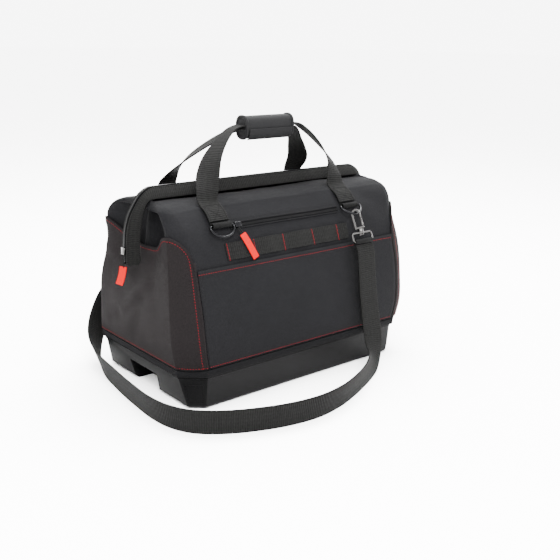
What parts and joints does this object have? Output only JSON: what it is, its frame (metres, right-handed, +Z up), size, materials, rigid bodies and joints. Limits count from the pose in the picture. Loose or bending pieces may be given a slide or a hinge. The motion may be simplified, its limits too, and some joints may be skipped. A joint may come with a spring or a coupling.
{
  "type": "tool bag",
  "caption": "Hard-bottomed tool bag with a moulded tray, hollow cloth body, framed zip mouth, outer pockets, padded grip on webbing handles, D-rings and a long hooked shoulder strap.",
  "frame": {"origin": "centre of the tray's flat underside", "axes": "+X along the bag to its right end, -Y the front, +Z up"},
  "size_m": [0.5409, 0.4294, 0.422],
  "materials": {
    "body_cloth": "matte coarse woven polyester",
    "end_cloth": "matte woven polyester, slightly warmer",
    "webbing": "ribbed woven webbing",
    "tray_plastic": "satin moulded plastic",
    "zip_coil": "satin nylon coil on tape",
    "black_metal": "black coated metal, satin",
    "red_tab": "woven tape, coral red"
  },
  "bodies": {
    "bag": {"base_tray": "tray_plastic", "base_welt": "body_cloth", "body_shell": "body_cloth", "front_pocket": "body_cloth", "end_pocket_left": "end_cloth", "end_pocket_right": "end_cloth", "mouth_band_front": "webbing", "mouth_band_back": "webbing", "mouth_zip": "zip_coil", "front_zip": "zip_coil", "mouth_slider": "black_metal", "front_slider": "black_metal", "mouth_pull": "red_tab", "front_pull": "red_tab", "tool_webbing": "webbing", "handle_front": "webbing", "handle_back": "webbing", "handle_grip": "webbing", "shoulder_strap": "webbing", "strap_end_front": "webbing", "strap_end_back": "webbing", "ring_tab_front_left": "webbing", "ring_tab_front_right": "webbing", "d_ring_front_right": "black_metal", "hook_body_front": "black_metal", "hook_base_front": "black_metal", "ring_tab_back_left": "webbing", "d_ring_back_left": "black_metal", "ring_tab_back_right": "webbing", "hook_body_back": "black_metal", "hook_base_back": "black_metal"},
    "ring_front_left": {"d_ring_front_left": "black_metal"},
    "ring_back_right": {"d_ring_back_right": "black_metal"},
    "gate_front": {"hook_gate_front": "black_metal"},
    "gate_back": {"hook_gate_back": "black_metal"}
  },
  "joints": [
    {"name": "ring_front_left_swing", "type": "hinge", "parent": "bag", "child": "ring_front_left", "pos_m": [-0.139, -0.0957, 0.27087], "axis": [-1, 0, 0], "range_deg": [0, 110]},
    {"name": "ring_back_right_swing", "type": "hinge", "parent": "bag", "child": "ring_back_right", "pos_m": [0.127, 0.09572, 0.27085], "axis": [1, 0, 0], "range_deg": [0, 110]},
    {"name": "gate_front_swing", "type": "hinge", "parent": "bag", "child": "gate_front", "pos_m": [0.13071, -0.12635, 0.24193], "axis": [-0.8211, -0.5131, 0.2502], "range_deg": [0, 28], "stiffness_Nm_per_rad": 0.02},
    {"name": "gate_back_swing", "type": "hinge", "parent": "bag", "child": "gate_back", "pos_m": [-0.14271, 0.12638, 0.24203], "axis": [0.8211, 0.5131, 0.2502], "range_deg": [0, 28], "stiffness_Nm_per_rad": 0.02}
  ]
}
